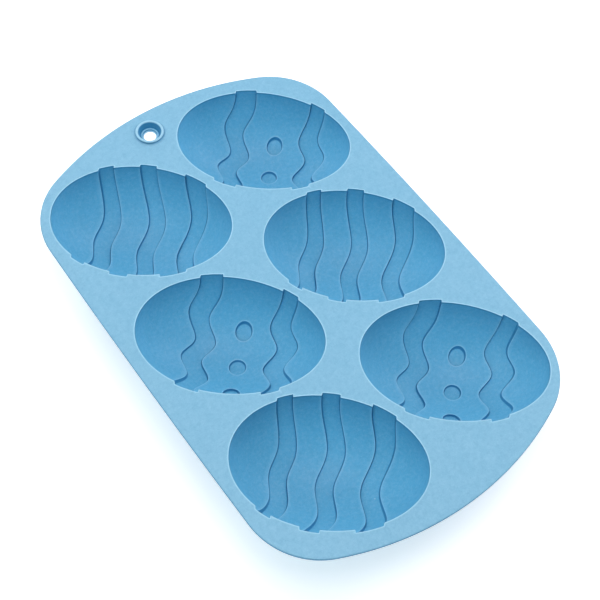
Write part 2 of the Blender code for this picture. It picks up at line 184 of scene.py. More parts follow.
class Skin:
    """A mesh whose faces carry corner normals, so flats stay flat and rolls stay smooth."""

    def __init__(self):
        self.count = 0
        self.points = []
        # Per vertex: pale marks are painted highlights, dark marks painted shade, and inner is how
        # much of the cavities' painted shade colour is laid on
        self.marks = {"edge": [], "painted_shade": [], "inner": []}
        self.blocks = []

    def add(self, points, mark=0.0, inner=0.0):
        """Adds vertices and returns their numbers, in the same grid as the points."""
        points = np.asarray(points, dtype=float)
        shape = points.shape[:-1]
        self.points.append(points.reshape(-1, 3))
        # A mark below zero is stored as painted highlight, one above zero as painted shade
        for label, value in (("edge", np.maximum(0.0, -np.asarray(mark))),
                             ("painted_shade", np.maximum(0.0, mark)), ("inner", inner)):
            self.marks[label].append(np.broadcast_to(value, shape).reshape(-1))
        numbers = self.count + np.arange(int(np.prod(shape)))
        self.count += len(numbers)
        return numbers.reshape(shape)

    def faces(self, corners, normals):
        """Adds faces of equally many corners, (n, k), with a normal at each corner, (n, k, 3)."""
        self.blocks.append((np.asarray(corners, dtype=int), np.asarray(normals, dtype=float)))

    def quads(self, index, normal, closed=False, keep=None):
        """Adds the faces of a grid of vertices, or those that are kept; closed grids wrap."""
        if closed:
            index = np.concatenate([index, index[:, :1]], axis=1)
            normal = np.concatenate([normal, normal[:, :1]], axis=1)

        def around(grid):
            return np.stack([grid[:-1, :-1], grid[:-1, 1:], grid[1:, 1:], grid[1:, :-1]], axis=2)

        corners, normals = around(index), around(normal)
        chosen = np.ones(corners.shape[:2], dtype=bool) if keep is None else keep
        self.faces(corners[chosen], normals[chosen])

    def fan(self, tip, tip_normal, ring, ring_normal):
        """Triangles from one tip to each stretch of an open line."""
        ring, ring_normal = np.asarray(ring), np.asarray(ring_normal)
        tips = np.full(len(ring) - 1, tip)
        tip_normals = np.tile(tip_normal, (len(tips), 1))
        self.faces(np.stack([tips, ring[:-1], ring[1:]], axis=1),
                   np.stack([tip_normals, ring_normal[:-1], ring_normal[1:]], axis=1))

    def fill_between(self, loops, flat, normals, extra=()):
        """Delaunay triangles over flat places that just one of the loops goes round."""
        numbers = [i for loop in loops for i in loop] + list(extra)
        links = []
        start = 0
        for loop in loops:
            count = len(loop)
            links += [(start + i, start + (i + 1) % count) for i in range(count)]
            start += count
        result = delaunay_2d_cdt([Vector(flat[i]) for i in numbers], links, [], 0, SAME)
        faces, origins = result[2], result[3]
        triangles = [[numbers[origins[i][0]] for i in face] for face in faces]
        middles = np.array([np.mean([flat[i] for i in t], axis=0) for t in triangles])
        wanted = sum(inside(middles, np.array([flat[i] for i in loop])) for loop in loops)
        chosen = [triangle for triangle, count in zip(triangles, wanted) if count == 1]
        self.faces(chosen, [[normals[i] for i in triangle] for triangle in chosen])

    def piece(self, name, material):
        """Makes the mesh object, with every face turned the way its corner normals point."""
        points = np.concatenate(self.points)
        faces, normals = [], []
        for corners, directions in self.blocks:
            spots = points[corners]
            facing = np.cross(spots[:, 1] - spots[:, 0], spots[:, 2] - spots[:, 0])
            if corners.shape[1] == 4:
                facing += np.cross(spots[:, 2] - spots[:, 0], spots[:, 3] - spots[:, 0])
            wrong = np.sum(facing * directions.sum(axis=1), axis=1) < 0
            corners, directions = corners.copy(), directions.copy()
            corners[wrong] = corners[wrong][:, ::-1]
            directions[wrong] = directions[wrong][:, ::-1]
            faces.extend(corners.tolist())
            normals.append(directions.reshape(-1, 3))
        mesh = bpy.data.meshes.new(name)
        mesh.from_pydata(points.tolist(), [], faces)
        mesh.shade_smooth()
        # the painted highlight, painted shade and cavity shade marks go on as attributes
        for label, values in self.marks.items():
            marks = mesh.attributes.new(label, "FLOAT", "POINT")
            marks.data.foreach_set("value", np.concatenate(values))
        mesh.normals_split_custom_set(unit(np.concatenate(normals)).tolist())
        mesh.materials.append(material)
        return new_object(name, mesh)

    def spots(self, numbers):
        """Where these vertices are, for the few whose numbers are asked for."""
        return np.concatenate(self.points)[np.asarray(numbers, dtype=int)]


def inside(spots, polygon):
    """1 where a spot lies inside a closed polygon, else 0."""
    x, y = spots[:, 0][:, None], spots[:, 1][:, None]
    x0, y0 = polygon[:, 0], polygon[:, 1]
    x1, y1 = np.roll(x0, -1), np.roll(y0, -1)
    spans = (y0 > y) != (y1 > y)
    rise = np.where(y1 == y0, TINY, y1 - y0)
    crossing = spans & (x < (x1 - x0) * (y - y0) / rise + x0)
    return crossing.sum(axis=1) % 2


# ---- the egg and its bands ----
def girth(u, width):
    """Radius of an egg's round cross-section at u along its long axis."""
    share = np.clip(2 * u / EGG_LENGTH, -1, 1)
    return width / 2 * np.sqrt(1 - share ** 2) * (1 + EGG_TAPER * share)


def wave(middle, along):
    """Sideways swing of a wavy band: a trough in the middle, a crest on each side."""
    crest = WAVE_CREST + WAVE_CREST_SPREAD * middle
    height = WAVE_HEIGHT * (1 + WAVE_GROWTH * middle)
    reach = np.abs(along - WAVE_SHIFT)
    near = reach / crest
    rise = height * near ** 2 * (3 - 2 * near)
    t = (reach - crest) / WAVE_RUNOUT
    start = 1 - 3 * t ** 2 + 2 * t ** 3
    bend = (t ** 3 - t ** 2) * WAVE_END_SLOPE * WAVE_RUNOUT
    return np.where(reach < crest, rise, start * height + (1 - start) * WAVE_END_SWING + bend)


def zigzag(_middle, along):
    """Sideways swing of a zigzag band: straight runs with rounded corners."""
    turn = ((along - ZIGZAG_SHIFT) / ZIGZAG_PITCH) % 1.0
    straight = 1 - np.abs(2 * turn - 1)
    rounded = 0.5 - 0.5 * np.cos(pi * straight)
    return ZIGZAG_HEIGHT * (ZIGZAG_STRAIGHTNESS * straight + (1 - ZIGZAG_STRAIGHTNESS) * rounded)


WAVE_PATTERN = (WAVE_BANDS, WAVE_HALF_WIDTH, wave, WAVE_EGG_WIDTH)
ZIGZAG_PATTERN = (ZIGZAG_BANDS, ZIGZAG_HALF_WIDTH, zigzag, ZIGZAG_EGG_WIDTH)


def egg_to_pattern(u, v):
    """From the egg's frame to the frame of its leaning bands."""
    return u * cos(BAND_LEAN) - v * sin(BAND_LEAN), u * sin(BAND_LEAN) + v * cos(BAND_LEAN)


def pattern_to_egg(p, q):
    """From the frame of the leaning bands back to the egg's."""
    return p * cos(BAND_LEAN) + q * sin(BAND_LEAN), -p * sin(BAND_LEAN) + q * cos(BAND_LEAN)


def edge_line(middle, side, swing, angles, width):
    """Where a band's edge crosses each line that runs round the egg."""
    u = np.full(len(angles), middle + side)
    for _ in range(SOLVER_ROUNDS):
        v = girth(u, width) * np.cos(angles)
        along = u * sin(BAND_LEAN) + v * cos(BAND_LEAN)
        u = (middle + side + swing(middle, along) + v * sin(BAND_LEAN)) / cos(BAND_LEAN)
    return u


def step_profile():
    """(across, depth, mark) over a recess's wall, from the cavity's wall to the recess's floor."""
    turns = np.linspace(0, STEP_SLOPE, ARC_POINTS)
    crest = [(CREST_RADIUS * sin(t), CREST_RADIUS * (1 - cos(t))) for t in turns]
    rounded = (CREST_RADIUS + FOOT_RADIUS) * (1 - cos(STEP_SLOPE))
    run = (RECESS - rounded) / tan(STEP_SLOPE)
    width = (CREST_RADIUS + FOOT_RADIUS) * sin(STEP_SLOPE) + run
    foot = [(width - FOOT_RADIUS * sin(t), RECESS - FOOT_RADIUS * (1 - cos(t))) for t in turns]
    marks = CREST_MARKS + FOOT_MARKS
    step = [(x - width / 2, z, mark) for (x, z), mark in zip(crest + foot[::-1], marks)]
    before = (step[0][0] - STEP_FADE, 0.0, WALL_MARK)
    after = (step[-1][0] + STEP_FADE, RECESS, 0.0)
    return np.array([before, *step, after])


STEP = step_profile()


def wall_columns(pattern, angles, drop):
    """u, growth and mark of every column at every row; columns run along the bands' edges."""
    bands, half_width, swing, width = pattern
    ends = EGG_LENGTH / 2 * cos(asin(drop / (width / 2)))
    edges = []
    for middle in bands:
        for side in (-1, 1):
            u = edge_line(middle, side * half_width, swing, angles, width)
            v, z = girth(u, width) * np.cos(angles), girth(u, width) * np.sin(angles)
            along = np.hypot(np.gradient(v), np.gradient(z))
            stretch = np.sqrt(1 + (np.gradient(u) / along) ** 2)
            shape = STEP if side < 0 else STEP[::-1] * [-1, 1, 1]
            edges.append([(u + across * stretch, depth, mark) for across, depth, mark in shape])
    columns = []
    first, last = edges[0][0][0], edges[-1][-1][0]
    for step in range(1, CAP_COLUMNS):
        turn = np.arccos(np.clip(-first / ends, -1, 1)) * step / CAP_COLUMNS
        columns.append((-ends * np.cos(turn), 0.0, 0.0))
    for index, edge in enumerate(edges):
        columns += edge
        if index + 1 < len(edges):
            start, stop = edge[-1][0], edges[index + 1][0][0]
            spread = 2 * half_width
            if index % 2:
                spread = bands[(index + 1) // 2] - bands[index // 2] - spread
            steps = max(3, round(spread / COLUMN_SPACING))
            for step in range(1, steps):
                columns.append((start + (stop - start) * step / steps, edge[-1][1], 0.0))
    for step in range(CAP_COLUMNS - 1, 0, -1):
        turn = np.arccos(np.clip(last / ends, -1, 1)) * step / CAP_COLUMNS
        columns.append((ends * np.cos(turn), 0.0, 0.0))
    u = np.array([column[0] for column in columns]).T
    ones = np.ones_like(u)
    growth = np.array([column[1] for column in columns]) * ones
    marks = np.array([column[2] for column in columns]) * ones
    return u, growth, marks, ends


def cavity_grid(pattern, drop):
    """Grid of points on the cavity's wall, their marks, and the wall's two end points."""
    levels = np.linspace(0, pi, ROWS + 1)
    u, growth, marks, ends = wall_columns(pattern, levels, drop)
    radius = girth(u, pattern[-1]) + growth
    rim = np.arcsin(np.clip(drop / radius, 0, 1))
    angle = rim + (pi - 2 * rim) * levels[:, None] / pi
    grid = np.stack([u, radius * np.cos(angle), -radius * np.sin(angle)], axis=-1)
    grid[0, :, 2] = grid[-1, :, 2] = -drop
    return grid, marks, np.array([-ends, 0.0, -drop]), np.array([ends, 0.0, -drop])


def round_trip(grid, blunt, narrow):
    """The line once round the mouth, anticlockwise, from a grid's first and last rows."""
    return np.concatenate([blunt[None], grid[-1], narrow[None], grid[0][::-1]])


def turned(vectors):
    """Directions or places from an egg's axes to the tray's."""
    c, s = cos(EGG_ANGLE), sin(EGG_ANGLE)
    u, v = vectors[..., 0], vectors[..., 1]
    return np.stack([u * c - v * s, u * s + v * c, vectors[..., 2]], axis=-1)


def to_tray(points, centre):
    """From an egg's frame, whose zero height is the web's top, to the softened tray."""
    return soften(turned(points) + [*centre, WEB_TOP])


def mouth_ring(pattern, drop, centre):
    """The cavity's line once round at one depth, in the tray."""
    grid, _, blunt, narrow = cavity_grid(pattern, drop)
    return to_tray(round_trip(grid, blunt, narrow), centre)


def seam_normals(pattern, drop, centre, lift=0.0002):
    """Normals of the cavity's wall along its line at one depth; web and cup share them."""
    here = mouth_ring(pattern, drop, centre)
    up = mouth_ring(pattern, drop - lift, centre) - mouth_ring(pattern, drop + lift, centre)
    along = np.roll(here, -1, axis=0) - np.roll(here, 1, axis=0)
    return unit(np.cross(up, along))


def pushed_out(loop, distance, guide=None):
    """A level, anticlockwise loop moved outwards, partly along the directions of a guide."""
    ahead = unit((np.roll(loop, -1, axis=0) - loop)[:, :2])
    behind = unit((loop - np.roll(loop, 1, axis=0))[:, :2])
    tangent = unit(ahead + behind)
    away = np.stack([tangent[:, 1], -tangent[:, 0]], axis=-1)
    if guide is not None:
        away = unit(away + guide)
    out = loop.copy()
    out[:, :2] += away * distance
    return out


def egg_guide(loop, width):
    """Level directions square to the egg's plain mouth, in the egg's frame."""
    u, v = loop[:, 0], loop[:, 1]
    h = 1e-6
    slope = (girth(u + h, width) ** 2 - girth(u - h, width) ** 2) / (4 * h)
    return unit(np.stack([-slope, v], axis=-1))


# ---- places of the cups ----
def outer_ring(depth, swell=0.0):
    """The outside of a cup at this depth, in the egg's frame."""
    turns = 2 * pi * np.arange(SKIN_SIDES) / SKIN_SIDES
    reach = np.full(SKIN_SIDES, 0.5)
    for _ in range(SOLVER_ROUNDS):
        shape = 1 + EGG_TAPER * reach * np.cos(turns)
        reach = np.sqrt(np.maximum(0, 1 - (depth / (OUTER_HALF_WIDTH * shape)) ** 2))
    shape = 1 + EGG_TAPER * reach * np.cos(turns)
    u = (EGG_LENGTH / 2 + CUP_WALL) * reach * np.cos(turns)
    v = OUTER_HALF_WIDTH * shape * reach * np.sin(turns)
    ring = np.stack([u, v, np.full(SKIN_SIDES, -depth)], axis=-1)
    return pushed_out(ring, swell) if swell else ring


def cup_centre(node):
    """The middle of a cup's mouth, from the box of its solid."""
    low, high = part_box(node)
    x, y, _ = turned(outer_ring(WEB_TOP - high.z)).T
    return ((low.x + high.x - x.min() - x.max()) / 2, (low.y + high.y - y.min() - y.max()) / 2)


CUPS = {}
for node_name in sorted(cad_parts):
    if "_cup_" in node_name:
        kind = WAVE_PATTERN if node_name.startswith("wave") else ZIGZAG_PATTERN
        CUPS[node_name] = (kind, cup_centre(node_name))


# ---- silicone ----
OUTER_BLUE = (0.199, 0.462, 0.658)
CAVITY_PAINTED_SHADE_BLUE = (0.097, 0.423, 0.670)   # painted shade: a darker, deeper blue for the cavities and the eyelet's bore
CLOUD_BLUE = (0.24875, 0.5775, 0.8225)
MOTTLE_BLUE = (0.0776, 0.3384, 0.536)
PALE_SPECKLE_AND_PAINTED_HIGHLIGHT = (0.44, 0.76, 0.94)
DARK_SPECKLE_AND_PAINTED_SHADE = (0.004, 0.155, 0.36)
DUST = (0.80, 0.86, 0.90)
PAINTED_HIGHLIGHT_STRENGTH = 0.8
PAINTED_SHADE_STRENGTH = 0.7
CLOUDS = (14.0, 2.0)         # the noises' scale per metre, detail and roughness
MOTTLES = (130.0, 3.0)
WEAR = (60.0, 4.0)
RIPPLES = (110.0, 2.0)
GRAIN = (2200.0, 3.0, 0.6)
FINE_GRAIN = (3200.0, 2.0)
MOTTLE = 0.08                # strength of the clouds and mottles
SPECKLES = (                 # scale, where the noise starts and ends, colour
    (1500.0, 0.50, 0.72, PALE_SPECKLE_AND_PAINTED_HIGHLIGHT), (1250.0, 0.50, 0.72, DARK_SPECKLE_AND_PAINTED_SHADE),
    (420.0, 0.45, 0.70, DARK_SPECKLE_AND_PAINTED_SHADE), (520.0, 0.45, 0.70, PALE_SPECKLE_AND_PAINTED_HIGHLIGHT),
)
SPECKLE = 0.11
DUST_SCALE = 42.0            # cells per metre
DUST_SIZE = (0.008, 0.014)   # a speck's middle and rim, in cells
DUST_SHARE = 0.72            # of the cells stay clean
DUST_STRENGTH = 0.8
ROUGHNESS = (0.44, 0.57)     # from the smoothest to the most worn places
GRAIN_ROUGHNESS = 0.04
GRAIN_BUMP = (0.35, 0.00003)   # strength, height
RIPPLE_BUMP = (0.5, 0.00012)
SPECULAR = 0.6
IOR = 1.41


class Paint:
    """A material and short ways to add its nodes; every texture lies in the piece's own space."""

    def __init__(self, name):
        self.material = bpy.data.materials.new(name)
        self.material.use_nodes = True
        self.nodes, self.links = self.material.node_tree.nodes, self.material.node_tree.links
        self.shader = self.nodes["Principled BSDF"]
        self.place = self.nodes.new("ShaderNodeTexCoord").outputs["Object"]

    def noise(self, scale, detail, rough=0.5):
        node = self.nodes.new("ShaderNodeTexNoise")
        for key, number in (("Scale", scale), ("Detail", detail), ("Roughness", rough)):
            node.inputs[key].default_value = number
        self.links.new(self.place, node.inputs["Vector"])
        return node.outputs["Fac"]

    def span(self, value, low, high, to_low, to_high):
        """Maps a value from one range to another, and keeps it inside."""
        node = self.nodes.new("ShaderNodeMapRange")
        for key, number in (("From Min", low), ("From Max", high),
                            ("To Min", to_low), ("To Max", to_high)):
            node.inputs[key].default_value = number
        self.links.new(value, node.inputs["Value"])
        return node.outputs["Result"]

    def attribute(self, label):
        node = self.nodes.new("ShaderNodeAttribute")
        node.attribute_name = label
        return node.outputs["Fac"]

    def blend(self, factor, first, second):
        """Mixes two colours, which may be sockets or plain colours."""
        node = self.nodes.new("ShaderNodeMix")
        node.data_type = "RGBA"
        self.links.new(factor, node.inputs["Factor"])
        for socket, value in ((node.inputs[6], first), (node.inputs[7], second)):
            if isinstance(value, tuple):
                socket.default_value = (*value, 1.0)
            else:
                self.links.new(value, socket)
        return node.outputs[2]

    def combine(self, operation, first, second):
        node = self.nodes.new("ShaderNodeMath")
        node.operation = operation
        for socket, value in zip(node.inputs, (first, second)):
            if isinstance(value, float):
                socket.default_value = value
            else:
                self.links.new(value, socket)
        return node.outputs[0]

    def bump(self, height, strength, distance, under=None):
        node = self.nodes.new("ShaderNodeBump")
        node.inputs["Strength"].default_value = strength
        node.inputs["Distance"].default_value = distance
        self.links.new(height, node.inputs["Height"])
        if under is not None:
            self.links.new(under, node.inputs["Normal"])
        return node.outputs["Normal"]


def dust_specks(paint):
    """1 on the few specks of dust, 0 elsewhere."""
    cells = paint.nodes.new("ShaderNodeTexVoronoi")
    cells.inputs["Scale"].default_value = DUST_SCALE
    paint.links.new(paint.place, cells.inputs["Vector"])
    part = paint.nodes.new("ShaderNodeSeparateColor")
    paint.links.new(cells.outputs["Color"], part.inputs["Color"])
    near = paint.span(cells.outputs["Distance"], *DUST_SIZE, 1.0, 0.0)
    return paint.combine("MULTIPLY", near,
                         paint.combine("GREATER_THAN", part.outputs[0], DUST_SHARE))


def silicone_colour(paint):
    """Pigment, with painted shade deeper inside the cavities, clouds, mottles, speckle, marks of
    painted highlight and shade, and dust.
    """
    # painted shade: the cavities' walls and the eyelet's bore are laid on in a darker, deeper blue
    colour = paint.blend(paint.attribute("inner"), OUTER_BLUE, CAVITY_PAINTED_SHADE_BLUE)
    clouds = paint.span(paint.noise(*CLOUDS), 0.3, 0.7, 0.0, MOTTLE)
    colour = paint.blend(clouds, colour, CLOUD_BLUE)
    mottles = paint.span(paint.noise(*MOTTLES), 0.35, 0.65, 0.0, MOTTLE)
    colour = paint.blend(mottles, colour, MOTTLE_BLUE)
    for scale, low, high, tone in SPECKLES:
        speckle = paint.span(paint.noise(scale, 2.0, 0.7), low, high, 0.0, SPECKLE)
        colour = paint.blend(speckle, colour, tone)
    # painted highlight: pale lines on recess crests, mouth beads and the eyelet's lip
    edge = paint.combine("MULTIPLY", paint.attribute("edge"), PAINTED_HIGHLIGHT_STRENGTH)
    colour = paint.blend(edge, colour, PALE_SPECKLE_AND_PAINTED_HIGHLIGHT)
    # painted shade: dark lines in recess corners, inside the mouths, round the eyelet and down the
    # tray's side
    painted_shade = paint.combine("MULTIPLY", paint.attribute("painted_shade"), PAINTED_SHADE_STRENGTH)
    colour = paint.blend(painted_shade, colour, DARK_SPECKLE_AND_PAINTED_SHADE)
    return paint.blend(paint.combine("MULTIPLY", dust_specks(paint), DUST_STRENGTH), colour, DUST)


def silicone(name):
    """Matt moulded silicone, with a fine grain over slow ripples."""
    paint = Paint(name)
    shader = paint.shader
    paint.links.new(silicone_colour(paint), shader.inputs["Base Color"])
    wear = paint.span(paint.noise(*WEAR), 0.3, 0.7, *ROUGHNESS)
    grainy = paint.span(paint.noise(*FINE_GRAIN), 0.3, 0.7, -GRAIN_ROUGHNESS, GRAIN_ROUGHNESS)
    paint.links.new(paint.combine("ADD", wear, grainy), shader.inputs["Roughness"])
    grain = paint.bump(paint.noise(*GRAIN), *GRAIN_BUMP)
    ripple = paint.bump(paint.noise(*RIPPLES), *RIPPLE_BUMP, grain)
    paint.links.new(ripple, shader.inputs["Normal"])
    shader.inputs["IOR"].default_value = IOR
    shader.inputs["Specular IOR Level"].default_value = SPECULAR
    paint.material.diffuse_color = (*OUTER_BLUE, 1.0)
    return paint.material


WEB_SILICONE = silicone("web_silicone_finish")
CAVITY_SILICONE = silicone("cavity_silicone_finish")
EYELET_SILICONE = silicone("eyelet_silicone_finish")


# ---- cups ----
SEAM = WEB_THICKNESS         # a cup's own wall starts this far below the web's top
TUCK = 0.0001                # how far a cup's hidden top edge reaches up into the web
DOT_PATCH = 0.0057           # radius of the finely meshed patch round each dot
DOT_HOLE = 0.0065            # radius of the hole that the coarser grid leaves for it
DOT_RINGS = (0.25, 0.5, 0.75, 0.92)   # shares of the dot's flat floor
FILLET_STEPS = 5


def depth_at(u, v, growth):
    """Depth of a zigzag egg's wall below its mouth, where the dots are."""
    return np.sqrt(np.maximum(0, (girth(u, ZIGZAG_EGG_WIDTH) + growth) ** 2 - v ** 2))


def wall_normal(u, v):
    """Normal of a zigzag egg's plain wall at (u, v), pointing into the cavity."""
    h = 1e-5
    z = depth_at(u, v, 0.0)
    slope_u = (depth_at(u + h, v, 0.0) - depth_at(u - h, v, 0.0)) / (2 * h)
    slope_v = -v / np.maximum(z, SAME)
    return unit(np.stack([slope_u, slope_v, np.ones_like(z)], axis=-1))


def dot_patch(skin, step, centre):
    """One sunk dot: rings from its middle out to the plain wall. Returns its outer ring."""
    floor_radius = DOT_RADIUS - STEP[-1, 0]
    profile = [(share * floor_radius, RECESS, 0.0) for share in DOT_RINGS]
    profile += [(DOT_RADIUS - across, depth, mark) for across, depth, mark in STEP[::-1]]
    profile += [(DOT_PATCH, 0.0, 0.0)]
    turns = 2 * pi * np.arange(DOT_SIDES) / DOT_SIDES
    rings = []
    for radius, depth, _ in profile:
        p = DOT_LINE + radius * np.cos(turns)
        q = DOT_SHIFT + step * DOT_PITCH + radius * np.sin(turns)
        u, v = pattern_to_egg(p, q)
        rings.append(np.stack([u, v, -depth_at(u, v, depth)], axis=-1))
    rings = np.array(rings)
    marks = np.array([mark for *_, mark in profile])[:, None]
    normals = grid_normals(rings, closed=True)
    normals *= np.sign(normals[..., 2:])
    normals[-1] = wall_normal(rings[-1][:, 0], rings[-1][:, 1])
    # the dot takes the cavities' painted shade colour, as the rest of the wall does
    index = skin.add(to_tray(rings, centre), marks, inner=1.0)
    skin.quads(index, turned(normals), closed=True)
    u, v = pattern_to_egg(DOT_LINE, DOT_SHIFT + step * DOT_PITCH)
    middle = np.array([u, v, -float(depth_at(u, v, RECESS))])
    tip = skin.add(to_tray(middle[None], centre), inner=1.0)[0]
    tip_normal = turned(wall_normal(np.array([u]), np.array([v])))[0]
    ring = np.append(index[0], index[0][0])
    ring_normals = turned(np.vstack([normals[0], normals[0][:1]]))
    skin.fan(tip, tip_normal, ring, ring_normals)
    return index[-1], rings[-1], normals[-1]


def hole_loop(kept):
    """The border of a hole in a grid of faces, as the grid's places in order."""
    links = {}
    for i, j in np.argwhere(~kept):
        sides = (((i, j), (i, j + 1), (i - 1, j)), ((i, j + 1), (i + 1, j + 1), (i, j + 1)),
                 ((i + 1, j + 1), (i + 1, j), (i + 1, j)), ((i + 1, j), (i, j), (i, j - 1)))
        for start, end, beyond in sides:
            if kept[beyond]:
                links[tuple(int(k) for k in start)] = tuple(int(k) for k in end)
    loop = [min(links)]
    while links[loop[-1]] != loop[0]:
        loop.append(links[loop[-1]])
    return loop


def add_cavity(skin, pattern, centre):
    """The cavity's wall below the seam, with its bands and dots. Returns its top loop."""
    grid, marks, blunt, narrow = cavity_grid(pattern, SEAM)
    placed = to_tray(grid, centre)
    # The whole wall takes the cavities' painted shade colour
    index = skin.add(placed, marks, inner=1.0)
    tips = skin.add(to_tray(np.array([blunt, narrow]), centre), inner=1.0)
    normals = grid_normals(placed)
    normals *= np.sign(np.sum(normals * (np.array([centre[0], centre[1], WEB_TOP]) - placed),
                              axis=-1, keepdims=True))
    seam = seam_normals(pattern, SEAM, centre)
    columns = grid.shape[1]
    blunt_normal, narrow_normal = seam[0], seam[columns + 1]
    normals[-1] = seam[1:columns + 1]
    normals[0] = seam[columns + 2:][::-1]
    kept = np.ones((grid.shape[0] - 1, grid.shape[1] - 1), dtype=bool)
    if pattern is ZIGZAG_PATTERN:
        p, q = egg_to_pattern(grid[..., 0], grid[..., 1])
        for step in (-1, 0, 1):
            away = np.hypot(p - DOT_LINE, q - DOT_SHIFT - step * DOT_PITCH) < DOT_HOLE
            touched = away[:-1, :-1] | away[1:, :-1] | away[:-1, 1:] | away[1:, 1:]
            hole = np.ones_like(kept)
            hole[touched] = False
            kept &= hole
            ring, ring_spots, ring_normals = dot_patch(skin, step, centre)
            border = tuple(np.array(hole_loop(hole)).T)
            loops = [index[border].tolist(), ring.tolist()]
            numbers = loops[0] + loops[1]
            flat = dict(zip(numbers, [*grid[border][:, :2], *ring_spots[:, :2]]))
            known = dict(zip(numbers, [*normals[border], *turned(ring_normals)]))
            skin.fill_between(loops, flat, known)
    skin.quads(index, normals, keep=kept)
    skin.fan(tips[0], blunt_normal, index[:, 0], normals[:, 0])
    skin.fan(tips[1], narrow_normal, index[:, -1], normals[:, -1])
    return np.concatenate([tips[:1], index[-1], tips[1:], index[0][::-1]])


def add_outside(skin, centre):
    """The smooth outside of a cup, from its flat base to the fillet under the web."""
    low = asin(WEB_TOP / OUTER_HALF_WIDTH)
    high = asin((SEAM + FOOT_FILLET) / OUTER_HALF_WIDTH)
    rings = [outer_ring(OUTER_HALF_WIDTH * sin(low + (high - low) * i / SKIN_RINGS))
             for i in range(SKIN_RINGS + 1)]
    for turn in np.linspace(0, pi / 2, FILLET_STEPS + 1)[1:]:
        depth = SEAM + FOOT_FILLET * (1 - sin(turn))
        rings.append(outer_ring(depth, FOOT_FILLET * (1 - cos(turn))))
    rings = to_tray(np.array(rings), centre)
    normals = grid_normals(rings, closed=True)
    normals *= np.sign(np.sum(normals[2, 0] * (rings[2, 0] - [centre[0], centre[1], WEB_TOP])))
    index = skin.add(rings)
    skin.quads(index, normals, closed=True)
    base = skin.add(rings[0].mean(axis=0)[None])[0]
    skin.fan(base, DOWN, np.append(index[0], index[0][0]), [DOWN] * (SKIN_SIDES + 1))
    top = to_tray(outer_ring(SEAM - TUCK, FOOT_FILLET), centre)
    hidden = skin.add(top)
    lip = np.array([index[-1], hidden])
    skin.quads(lip, np.broadcast_to(UP, (2, SKIN_SIDES, 3)), closed=True)
    return hidden


def add_cup(name, pattern, centre):
    """One cup: its cavity and its outside, joined by a flat ring hidden under the web."""
    skin = Skin()
    mouth = add_cavity(skin, pattern, centre)
    rim = add_outside(skin, centre)
    numbers = [*mouth.tolist(), *rim.tolist()]
    flat = dict(zip(numbers, skin.spots(numbers)[:, :2].tolist()))
    loops = [numbers[:len(mouth)], numbers[len(mouth):]]
    skin.fill_between(loops, flat, dict.fromkeys(numbers, UP))
    return skin.piece(name, CAVITY_SILICONE)


# ---- web ----
SEAT_FADE = 0.0012           # how far the painted shade round the eyelet fades into the web
SEAT_SHADE = 0.0003          # where that painted shade is still dark
SEAT_TUCK = 0.0006           # how far the web reaches in under the eyelet's side


def arc_points(centre, start, end):
    """Points of an arc from start to end, without its last point."""
    radius = hypot(start[0] - centre[0], start[1] - centre[1])
    first = atan2(start[1] - centre[1], start[0] - centre[0])
    last = atan2(end[1] - centre[1], end[0] - centre[0])
    steps = max(4, round(radius * abs(last - first) / OUTLINE_SPACING))
    return [(centre[0] + radius * cos(first + (last - first) * i / steps),
             centre[1] + radius * sin(first + (last - first) * i / steps)) for i in range(steps)]


def tray_outline():
    """Bowed ends and sides, joined by corner arcs tangent to both, anticlockwise."""
    half_width, half_length = TRAY_WIDTH / 2, TRAY_LENGTH / 2
    end_radius = (half_width ** 2 + END_BOW ** 2) / (2 * END_BOW)
    side_radius = (half_length ** 2 + SIDE_BOW ** 2) / (2 * SIDE_BOW)
    end_centre = (0.0, half_length - end_radius)
    side_centre = (half_width - side_radius, 0.0)
    to_end, to_side = end_radius - CORNER_RADIUS, side_radius - CORNER_RADIUS
    apart = hypot(side_centre[0], end_centre[1])
    along = (to_end ** 2 - to_side ** 2 + apart ** 2) / (2 * apart)
    across = sqrt(to_end ** 2 - along ** 2)
    ux, uy = side_centre[0] / apart, -end_centre[1] / apart
    choices = [(ux * along - s * uy * across, end_centre[1] + uy * along + s * ux * across)
               for s in (-1, 1)]
    corner = max(choices, key=sum)

    def touch(centre, radius):
        away = hypot(corner[0] - centre[0], corner[1] - centre[1])
        return tuple(centre[k] + (corner[k] - centre[k]) * radius / away for k in (0, 1))

    side_meets, end_meets = touch(side_centre, side_radius), touch(end_centre, end_radius)
    quarter = arc_points(side_centre, (half_width, 0.0), side_meets)
    quarter += arc_points(corner, side_meets, end_meets)
    quarter += arc_points(end_centre, end_meets, (0.0, half_length))
    upper = quarter + [(0.0, half_length)] + [(-x, y) for x, y in reversed(quarter)]
    return np.array(upper + [(x, -y) for x, y in reversed(upper[1:-1])])


def level(loop, height):
    """A loop's flat places, all at one height."""
    return np.column_stack([loop[:, :2], np.full(len(loop), height)])


def sag_normals(points):
    """Normals of the softly waving web."""
    h = 1e-4
    x, y = points[..., 0], points[..., 1]
    slope_x = (sag_at(x + h, y) - sag_at(x - h, y)) / (2 * h)
    slope_y = (sag_at(x, y + h) - sag_at(x, y - h)) / (2 * h)
    return unit(np.stack([-slope_x, -slope_y, np.ones_like(x)], axis=-1))


def web_loops(index, top_normals, known_top, known_low):
    """Keeps the normals of a border's first and last rings, and returns their vertices."""
    known_top.update(zip(index[0].tolist(), top_normals))
    known_low.update(dict.fromkeys(index[-1].tolist(), DOWN))
    return index[0].tolist(), index[-1].tolist()


